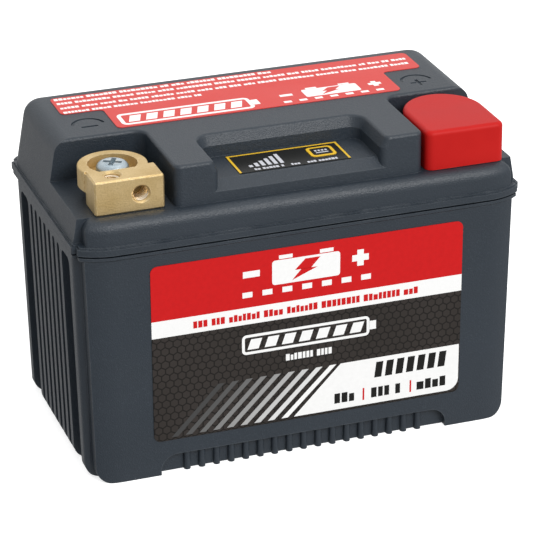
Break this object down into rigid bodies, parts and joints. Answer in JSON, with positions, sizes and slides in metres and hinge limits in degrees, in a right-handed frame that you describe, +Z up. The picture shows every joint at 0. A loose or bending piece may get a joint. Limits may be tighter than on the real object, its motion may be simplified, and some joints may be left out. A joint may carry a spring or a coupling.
{
  "type": "motorcycle battery",
  "caption": "Sealed motorcycle battery with a drafted ribbed case, brass terminal blocks in front niches, a lift-off terminal cap and a charge display with a test key.",
  "frame": {"origin": "middle of the underside", "axes": "+X along the length towards the positive terminal, -Y towards the labelled front with the terminals, +Z up"},
  "size_m": [0.15, 0.087, 0.1053],
  "materials": {
    "case_plastic": "fine satin texture",
    "sealant": "matt",
    "brass": "satin, machined",
    "zinc_steel": "blue zinc plate",
    "copper": "bare copper",
    "lead_red": "silicone insulation",
    "lead_black": "silicone insulation",
    "cap_red": "soft satin",
    "label_print": "printed film",
    "key_plastic": "printed key",
    "component_black": "moulded epoxy",
    "clear_plastic": "clear",
    "led_white": "resin",
    "circuit_board": "solder mask",
    "ribbon": "flat ribbon",
    "cell_sleeve": "shrink sleeve",
    "holder_plastic": "moulded",
    "nickel": "nickel strip",
    "insulation": "fish paper",
    "foam": "closed-cell foam"
  },
  "bodies": {
    "case": {"balance_resistors": "component_black", "base_pad": "foam", "bms_board": "circuit_board", "bms_controller": "component_black", "bms_screws": "zinc_steel", "bms_shunt": "copper", "bms_transistors": "component_black", "board_spacers": "holder_plastic", "bottom_link_left": "nickel", "bottom_link_right": "nickel", "cell_1": "cell_sleeve", "cell_2": "cell_sleeve", "cell_3": "cell_sleeve", "cell_4": "cell_sleeve", "cell_5": "cell_sleeve", "cell_6": "cell_sleeve", "cell_7": "cell_sleeve", "cell_8": "cell_sleeve", "charge_leds": "led_white", "container": "case_plastic", "display_board": "circuit_board", "display_cable": "ribbon", "display_label": "label_print", "display_screws": "zinc_steel", "front_foam": "foam", "front_label": "label_print", "insulation_sheet": "insulation", "left_foam": "foam", "lid": "case_plastic", "lid_seal": "sealant", "light_guide": "clear_plastic", "lower_cell_holder": "holder_plastic", "negative_bush": "brass", "negative_collector": "nickel", "negative_lead": "lead_black", "negative_lug": "copper", "negative_screw": "zinc_steel", "negative_terminal": "brass", "positive_bush": "brass", "positive_collector": "nickel", "positive_lead": "lead_red", "positive_lug": "copper", "positive_screw": "zinc_steel", "positive_terminal": "brass", "rear_foam": "foam", "right_foam": "foam", "test_switch": "component_black", "top_label": "label_print", "top_link": "nickel", "upper_cell_holder": "holder_plastic"},
    "cap": {"terminal_cap": "cap_red"},
    "button": {"test_button": "key_plastic", "switch_plunger": "key_plastic"}
  },
  "joints": [
    {"name": "cap_lift", "type": "slide", "parent": "case", "child": "cap", "axis": [0, 0, 1], "range_m": [0, 0.04]},
    {"name": "test_press", "type": "slide", "parent": "case", "child": "button", "axis": [0, 0, -1], "range_m": [0, 0.0004], "stiffness_N_per_m": 1500, "springref_m": -0.0004}
  ]
}
